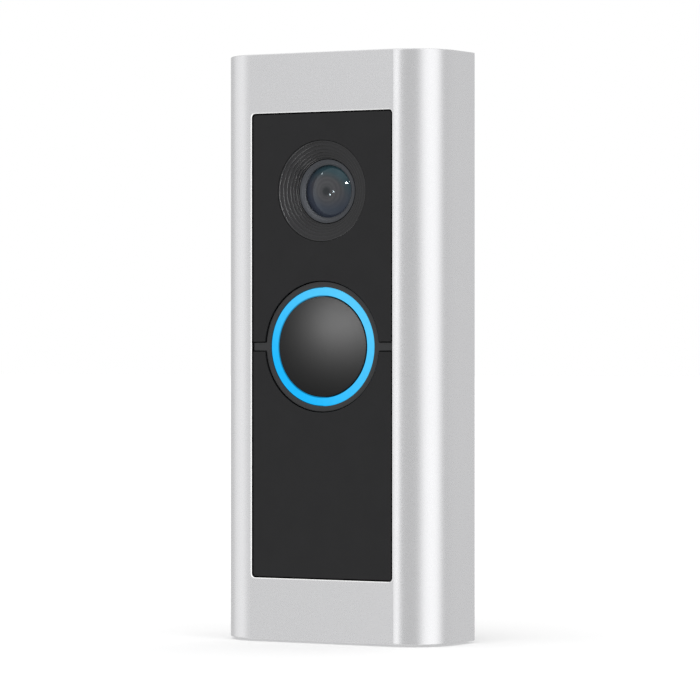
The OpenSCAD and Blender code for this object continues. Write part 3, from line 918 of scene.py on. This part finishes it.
def screws():
    """The screws of housing, boards, camera and terminals, and the security screw."""
    small = {"head_t": 0.8, "shank_r": 0.8, "pitch": 0.5}
    main_board = [(side * 17, z) for side in (-1, 1) for z in (-37.5, 18.5)]
    screw_group("housing_screws", four(17.6, 42.6), head_r=2.1, head_t=1.6, shank_r=0.9, pitch=0.7)
    screw_group("led_board_screws", four(15, 11.5), head_r=1.7, **small)
    screw_group("camera_screws", [(-11, LENS.z), (11, LENS.z)], head_r=1.5, **small)
    screw_group("main_board_screws", main_board, head_r=1.7, **small, from_front=True)
    for node in ("terminal_screw_left", "terminal_screw_right"):
        span = Span(node)
        screw_group(node, [(span.x, span.z)], head_r=3, head_t=1.8, shank_r=1.6, pitch=0.7)
    security_screw()


# ---- the rest of the works ----

# the other nodes keep their CAD shape, with their edges rounded by this many millimetres
REFINED = {
    "front_housing": 0.18, "rear_housing": 0.18, "housing_seal": 0.05, "camera_holder": 0.12,
    "ir_cut_filter": 0.04, "image_sensor": 0.06, "sensor_board": 0.05, "camera_flex": 0.04,
    "camera_connector": 0.12, "ring_reflector": 0.06, "ring_leds": 0.08, "led_board": 0.05,
    "button_switch": 0.12, "button_switch_stem": 0.1, "infrared_leds": 0.06, "light_sensor": 0.08,
    "microphones": 0.08, "radar_board": 0.05, "radar_shield": 0.05, "speaker_frame": 0.15,
    "speaker_cone": 0.06, "speaker_magnet": 0.2, "speaker_gasket": 0.08, "main_board": 0.05,
    "processor": 0.08, "processor_shield": 0.06, "thermal_pad": 0.12, "heat_spreader": 0.1,
    "wifi_module": 0.1, "wifi_antenna": 0.03, "power_inductor": 0.2, "storage_capacitors": 0.2,
    "board_connector": 0.1, "terminal_plates": 0.08, "setup_button": 0.15, "setup_switch": 0.1,
    "setup_switch_stem": 0.08,
}


def works():
    """Housings, boards, chips and the rest, from their CAD shapes."""
    for node, width in REFINED.items():
        piece(node, softened(cad_solid(node), width, 38))


# ---- studio ----

# how far the floor lies below the doorbell, whose edge then stands on a thin line of shadow
SHADOW_GAP = 0.45
FLOOR_REACH = 6.0
# how much the floor glows for the camera, which keeps it white round the doorbell
FLOOR_GLOW = 0.15


def studio():
    """A white floor, which glossy surfaces don't reflect."""
    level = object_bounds()[0].z - SHADOW_GAP * MM
    mesh = bpy.data.meshes.new("floor")
    corners = [(x * FLOOR_REACH, y * FLOOR_REACH, level)
               for x, y in ((-1, -1), (1, -1), (1, 1), (-1, 1))]
    mesh.from_pydata(corners, [], [(0, 1, 2, 3)])
    floor = bpy.data.objects.new("floor", mesh)
    bpy.context.scene.collection.objects.link(floor)
    sh = Shader("floor_white")
    seen = sh.add("ShaderNodeLightPath").outputs["Is Camera Ray"]
    sh.set(Base_Color=shades(sh, (0.88, 0.88, 0.88), 0.004, sh.spread(sh.noise(40.0), 0, 1)),
           Roughness=sh.spread(sh.noise(30.0), 0.85, 0.95), Specular_IOR_Level=0.0,
           Emission_Color=(1, 1, 1, 1), Emission_Strength=sh.math("MULTIPLY", seen, FLOOR_GLOW))
    mesh.materials.append(sh.material)
    floor.visible_glossy = False
    floor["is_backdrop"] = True


def direction(azimuth, elevation):
    """A unit vector: azimuth 0 is straight in front of the doorbell, and grows towards +X."""
    a, e = radians(azimuth), radians(elevation)
    return Vector((sin(a) * cos(e), -cos(a) * cos(e), sin(e)))


# the tent's even brightness
TENT = 0.88
# upright strips: azimuth, half width at the faint edge, half width at the bright middle, strength
STRIPS = [(73, 35, 1, 0.88), (-78, 32, 4, 0.44), (-43, 44, 14, 0.16), (150, 45, 15, 0.10)]
# round glows, which have an elevation too: a panel high in front, the ceiling, and one below
PANELS = [(8, 44, 20, 10, 0.6), (0, 90, 60, 30, 0.4), (0, -90, 40, 20, 0.15)]


def tent():
    """A white tent with soft strips and glows. The camera itself sees plain white behind."""
    world = bpy.data.worlds.new("studio")
    world.use_nodes = True
    bpy.context.scene.world = world
    tree = world.node_tree
    tree.nodes.clear()
    make, link = tree.nodes.new, tree.links.new
    place = make("ShaderNodeTexCoord").outputs["Generated"]
    flat = make("ShaderNodeVectorMath")
    flat.operation = "MULTIPLY"
    link(place, flat.inputs[0])
    flat.inputs[1].default_value = (1, 1, 0)
    level = make("ShaderNodeVectorMath")
    level.operation = "NORMALIZE"
    link(flat.outputs[0], level.inputs[0])
    total = make("ShaderNodeValue").outputs[0]
    total.default_value = TENT
    glows = [(level.outputs[0], azimuth, 0, *rest) for azimuth, *rest in STRIPS]
    glows += [(place, *panel) for panel in PANELS]
    for where, azimuth, elevation, edge, middle, strength in glows:
        dot = make("ShaderNodeVectorMath")
        dot.operation = "DOT_PRODUCT"
        link(where, dot.inputs[0])
        dot.inputs[1].default_value = direction(azimuth, elevation)
        fade = make("ShaderNodeMapRange")
        fade.interpolation_type = "SMOOTHSTEP"
        fade.inputs["From Min"].default_value = cos(radians(edge))
        fade.inputs["From Max"].default_value = cos(radians(middle))
        fade.inputs["To Max"].default_value = strength
        link(dot.outputs["Value"], fade.inputs["Value"])
        plus = make("ShaderNodeMath")
        link(total, plus.inputs[0])
        link(fade.outputs["Result"], plus.inputs[1])
        total = plus.outputs[0]
    inside = make("ShaderNodeBackground")
    link(total, inside.inputs["Strength"])
    seen = make("ShaderNodeBackground")
    seen.inputs["Color"].default_value = (1, 1, 1, 1)
    seen.inputs["Strength"].default_value = 1.0
    choose = make("ShaderNodeMixShader")
    link(make("ShaderNodeLightPath").outputs["Is Camera Ray"], choose.inputs[0])
    link(inside.outputs[0], choose.inputs[1])
    link(seen.outputs[0], choose.inputs[2])
    link(choose.outputs[0], make("ShaderNodeOutputWorld").inputs["Surface"])


# what the lamps light
FACEPLATE = ["faceplate_visual"]
CAP = ["button_cap_visual"]
BOWL = ["camera_surround_visual"]
FUNNEL = ["camera_surround_visual", "lens_retaining_ring_visual"]
GLASS = ["front_lens_visual"]
# name, aim, azimuth, elevation, then distance, width and height in metres, watts, what it lights
LAMPS = [
    ("crease_strip", FACE, -9, 0, 1.2, 0.26, 1.6, 1.2, FACEPLATE),
    ("button_softbox", BUTTON, -14, 14, 0.8, 0.50, 0.19, 62.0, CAP),
    ("button_edge_strip", BUTTON, 75, 20, 0.8, 0.3, 0.3, 16.0, CAP),
    ("surround_strip", LENS, 86, 10, 0.8, 0.3, 1.8, 48.0, FUNNEL),
    ("surround_glow", LENS, 10, -52, 0.8, 0.5, 0.4, 5.0, BOWL),
    ("lens_spark", LENS, 19, 21, 0.7, 0.07, 0.03, 2.0, GLASS),
    ("lens_dot_low", LENS, -20, -5, 0.7, 0.04, 0.04, 0.20, GLASS),
    ("lens_dot_high", LENS, -11, 1, 0.7, 0.04, 0.04, 0.20, GLASS),
    ("lens_dot_far", LENS, -58, 34, 0.7, 0.04, 0.04, 0.06, GLASS),
]


def lamps():
    """Soft rectangular lamps, each of which lights some pieces only, as flags on a set would do."""
    for name, target, azimuth, elevation, distance, width, height, energy, only in LAMPS:
        lamp = bpy.data.lights.new(name, "AREA")
        lamp.shape = "RECTANGLE"
        lamp.size, lamp.size_y = width, height
        lamp.energy = energy
        obj = bpy.data.objects.new(name, lamp)
        aim = Vector((target.x * MM, -target.front * MM, target.z * MM))
        obj.location = aim + direction(azimuth, elevation) * distance
        obj.rotation_euler = (aim - obj.location).to_track_quat("-Z", "Y").to_euler()
        bpy.context.scene.collection.objects.link(obj)
        lit = bpy.data.collections.new(f"{name}_lights")
        for piece_name in only:
            lit.objects.link(bpy.data.objects[piece_name])
        obj.light_linking.receiver_collection = lit


def camera():
    """Looks from the right at the doorbell's own height, a little past its middle."""
    turn = radians(30.1)
    distance = 755 * MM
    aside = 5.6 * MM
    data = bpy.data.cameras.new("camera")
    data.lens = 201
    data.sensor_width = 36
    data.shift_y = -0.0048
    data.clip_start = 0.01
    obj = bpy.data.objects.new("camera", data)
    middle = Vector((0, -FACE.front * MM, 0))
    obj.location = middle + distance * Vector((sin(turn), -cos(turn), 0))
    aim = middle + aside * Vector((cos(turn), sin(turn), 0))
    obj.rotation_euler = (aim - obj.location).to_track_quat("-Z", "Y").to_euler()
    bpy.context.scene.collection.objects.link(obj)
    bpy.context.scene.camera = obj


faceplate()
button_bezel()
window_panels()
camera_surround()
lens_retaining_ring()
lenses()
lens_barrel()
light_ring()
button_cap()
stem_rings()
screws()
works()
studio()
tent()
lamps()
camera()
bpy.context.scene.view_settings.view_transform = "Standard"
